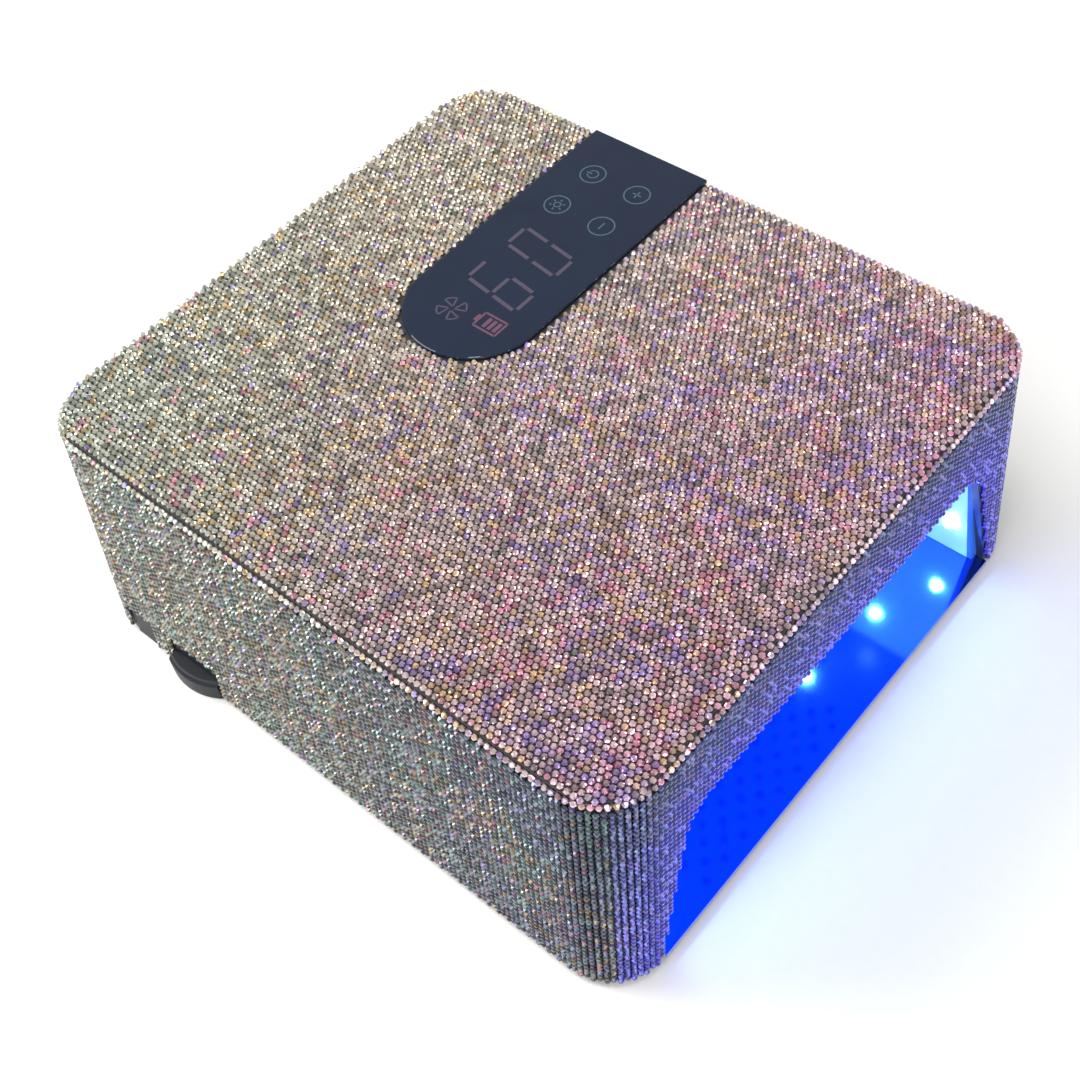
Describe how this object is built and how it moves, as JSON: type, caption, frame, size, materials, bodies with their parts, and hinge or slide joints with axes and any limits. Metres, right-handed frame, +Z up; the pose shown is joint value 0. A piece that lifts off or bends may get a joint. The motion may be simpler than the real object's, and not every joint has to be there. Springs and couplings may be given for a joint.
{
  "type": "uv led nail lamp",
  "caption": "Low flared nail-curing lamp set all over with stones, with a touch panel on top, a lit hand cavity open to the front and a slide-out steel base tray.",
  "frame": {"origin": "on the table, under the middle of the case", "axes": "+Z up, the hand cavity opens towards -Y, +X to the right of someone facing the opening"},
  "size_m": [0.2535, 0.2632, 0.109],
  "materials": {
    "case_plastic": "black moulded",
    "stones": "champagne rhinestones on a film",
    "smoked_panel": "dark navy, glossy",
    "liner_plastic": "white reflective",
    "trim_plastic": "black",
    "grip_plastic": "black",
    "polished_steel": "mirror polished stainless",
    "foot_rubber": "matt",
    "magnet": "nickel plated",
    "screw_steel": "zinc plated",
    "white_board": "white solder mask",
    "led_lens": "clear dome, violet-blue when lit",
    "sensor_lens": "dark infrared window",
    "green_board": "green solder mask",
    "board_parts": "black and grey parts",
    "digit_black": "black digit block",
    "spring_steel": "bright",
    "standoff_brass": "turned",
    "fan_plastic": "black",
    "holder_plastic": "black",
    "cell_wrap": "blue sleeve",
    "socket_metal": "nickel"
  },
  "bodies": {
    "lamp": {"side_shell": "case_plastic", "top_cover": "case_plastic", "top_stone_sheet": "stones", "side_stone_sheet": "stones", "display_window": "smoked_panel", "reflector_liner": "liner_plastic", "vent_plate": "liner_plastic", "opening_trim": "trim_plastic", "chassis_frame": "trim_plastic", "rear_vent_grille": "trim_plastic", "left_finger_grip": "grip_plastic", "right_finger_grip": "grip_plastic", "rubber_feet": "foot_rubber", "tray_magnets": "magnet", "case_screws": "screw_steel", "fan_screws": "screw_steel", "board_screws": "screw_steel", "display_screws": "screw_steel", "left_led_board": "white_board", "right_led_board": "white_board", "rear_led_board": "white_board", "ceiling_led_board": "white_board", "left_leds": "led_lens", "right_leds": "led_lens", "rear_leds": "led_lens", "ceiling_leds": "led_lens", "hand_sensors": "sensor_lens", "main_board": "green_board", "display_board": "green_board", "protection_board": "green_board", "main_board_parts": "board_parts", "buzzer": "board_parts", "digit_module": "digit_black", "touch_springs": "spring_steel", "board_standoffs": "standoff_brass", "fan_frame": "fan_plastic", "battery_holder": "holder_plastic", "battery_cells": "cell_wrap", "dc_socket": "socket_metal"},
    "tray": {"base_tray": "polished_steel"},
    "rotor": {"fan_rotor": "fan_plastic"}
  },
  "joints": [
    {"name": "tray_slide", "type": "slide", "parent": "lamp", "child": "tray", "axis": [0, -1, 0], "range_m": [0, 0.2]},
    {"name": "fan_spin", "type": "hinge", "parent": "lamp", "child": "rotor", "pos_m": [0, -0.075, 0.08], "axis": [0, 0, 1], "continuous": true}
  ]
}
